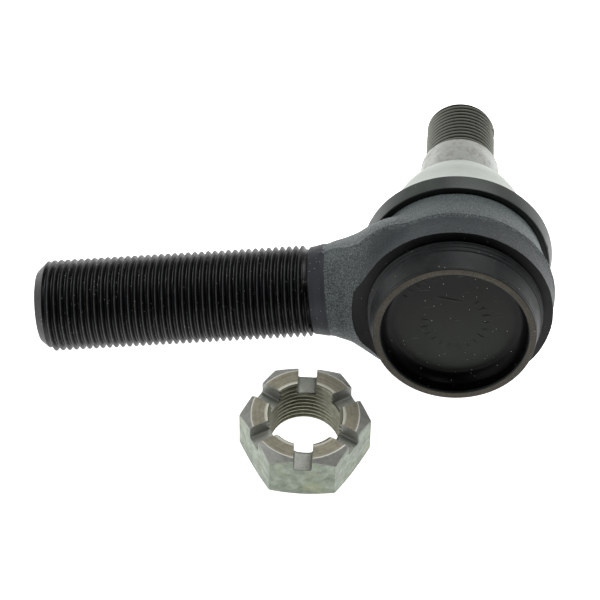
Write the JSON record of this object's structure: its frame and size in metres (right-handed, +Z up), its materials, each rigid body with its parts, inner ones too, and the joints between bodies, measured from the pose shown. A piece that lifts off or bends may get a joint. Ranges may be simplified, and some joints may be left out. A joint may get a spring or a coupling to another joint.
{
  "type": "tie rod end",
  "caption": "Heavy-duty tie rod end with a threaded shank, a forged eye, a dust boot and a tapered ball stud, lying on a bench beside its slotted nut.",
  "frame": {"origin": "on the bench, under the middle of the whole object's box; the ball centre is at (0.0503346, -0.0085231, 0.0313755) m", "axes": "+Z is up from the bench the joint lies on; the shank lies along -X and dips 8.15 degrees to its end; the ball stud points along +Y and dips 14.9 degrees to its tip, so that clamp ring, shank end and stud tip all touch the bench"},
  "size_m": [0.1608, 0.143, 0.0652],
  "materials": {
    "black_forging": "shot-blasted forging under thin black phosphate, turned faces smoother and darker",
    "ground_steel": "ground taper with light storage stains, thread dark phosphate",
    "bearing_metal": "machined",
    "spring_steel": "tempered, blued",
    "black_rubber": "matt",
    "black_pressing": "thin satin black over pressed steel",
    "pale_boot": "satin, faintly translucent polyurethane",
    "black_band": "smooth moulded black, satin",
    "plated_steel": "machined top, pale phosphate on the flats"
  },
  "bodies": {
    "housing": {"housing": "black_forging", "upper_bearing_shell": "bearing_metal", "preload_spring": "spring_steel", "cover_seal_ring": "black_rubber", "cover_plate": "black_pressing", "dust_boot": "pale_boot", "boot_clamp_ring": "black_band"},
    "bearing_cup": {"lower_bearing_cup": "bearing_metal"},
    "boot_neck": {"boot_neck_ring": "spring_steel"},
    "ball_stud": {"ball_stud": "ground_steel"},
    "castle_nut": {"castle_nut": "plated_steel"}
  },
  "joints": [
    {"name": "swing_direction", "type": "hinge", "parent": "housing", "child": "bearing_cup", "pos_m": [0.05033, -0.00852, 0.03138], "axis": [0.0368, 0.9657, -0.2571], "continuous": true},
    {"name": "stud_tilt", "type": "hinge", "parent": "bearing_cup", "child": "boot_neck", "pos_m": [0.05033, -0.00852, 0.03138], "axis": [0.0098, 0.2569, 0.9664], "range_deg": [-25, 25], "deforming": ["dust_boot"]},
    {"name": "stud_spin", "type": "hinge", "parent": "boot_neck", "child": "ball_stud", "pos_m": [0.05033, -0.00852, 0.03138], "axis": [0.0368, 0.9657, -0.2571], "continuous": true},
    {"name": "nut_lift", "type": "slide", "parent": "housing", "child": "castle_nut", "axis": [0, 0, 1], "range_m": [0, 0.05]}
  ]
}
